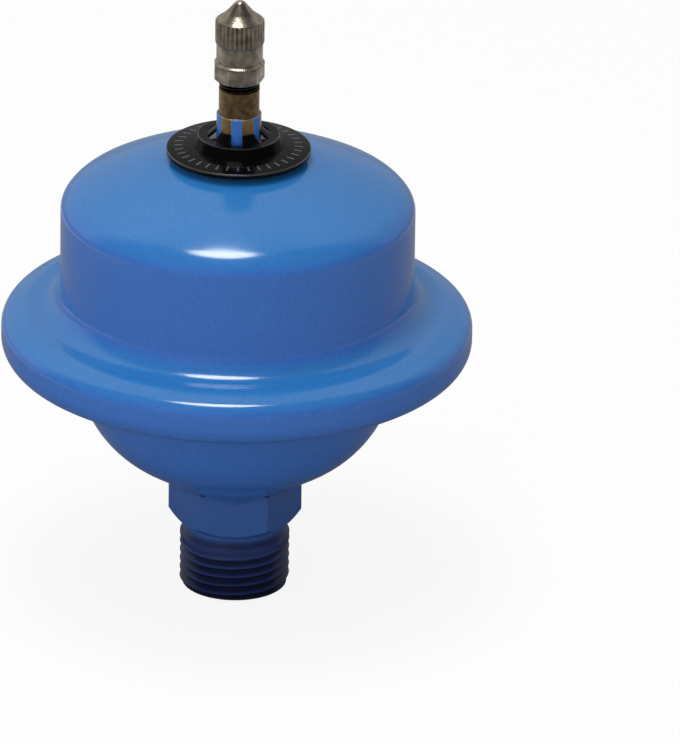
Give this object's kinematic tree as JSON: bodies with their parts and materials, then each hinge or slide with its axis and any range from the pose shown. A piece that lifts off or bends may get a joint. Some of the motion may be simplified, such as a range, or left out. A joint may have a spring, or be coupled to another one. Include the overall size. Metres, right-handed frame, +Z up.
{
  "type": "water hammer arrestor",
  "caption": "Blue pre-charged steel vessel with a rolled rim, rubber diaphragm, threaded water nipple below and a capped gas valve on top; it absorbs pressure surges in water pipes.",
  "frame": {"origin": "centre of the threaded end face of the water nipple", "axes": "+Z up along the vessel's axis, from the nipple to the gas valve; one flat of the nipple's hexagon faces -Y"},
  "size_m": [0.0895, 0.0894, 0.1198],
  "materials": {
    "blue_enamel": "glossy baked enamel on drawn steel",
    "navy_enamel": "thin glossy enamel on a turned steel nipple",
    "stem_brass": "turned brass, tarnished, with paint left on its foot",
    "core_brass": "turned brass, bare",
    "nickel_plate": "nickel plate on brass, slightly dulled",
    "black_disc": "black anodised sheet with a bright edge",
    "black_rubber": "moulded black rubber",
    "spring_steel": "drawn stainless wire"
  },
  "bodies": {
    "vessel": {"upper_shell": "blue_enamel", "lower_shell": "blue_enamel", "diaphragm": "black_rubber", "water_nipple": "navy_enamel", "valve_stem": "stem_brass", "label_disc": "black_disc", "core_plug": "core_brass", "core_barrel": "core_brass", "core_gasket": "black_rubber", "core_spring": "spring_steel"},
    "pin": {"core_pin": "nickel_plate", "core_cup": "core_brass", "core_cup_seal": "black_rubber"},
    "seal": {"cap_seal": "black_rubber"},
    "cap": {"valve_cap": "nickel_plate"}
  },
  "joints": [
    {"name": "pin_press", "type": "slide", "parent": "vessel", "child": "pin", "axis": [0, 0, -1], "range_m": [0, 0.001], "stiffness_N_per_m": 500, "springref_m": -0.002, "deforming": ["core_spring"]},
    {"name": "cap_rise", "type": "slide", "parent": "vessel", "child": "seal", "axis": [0, 0, 1], "range_m": [0, 0.00437]},
    {"name": "cap_turn", "type": "hinge", "parent": "seal", "child": "cap", "pos_m": [0, 0, 0.10358], "axis": [0, 0, 1], "range_deg": [0, 1980]}
  ],
  "couplings": [
    {"joint": "cap_turn", "follows": "cap_rise", "rad_per_m": 7913.3}
  ]
}
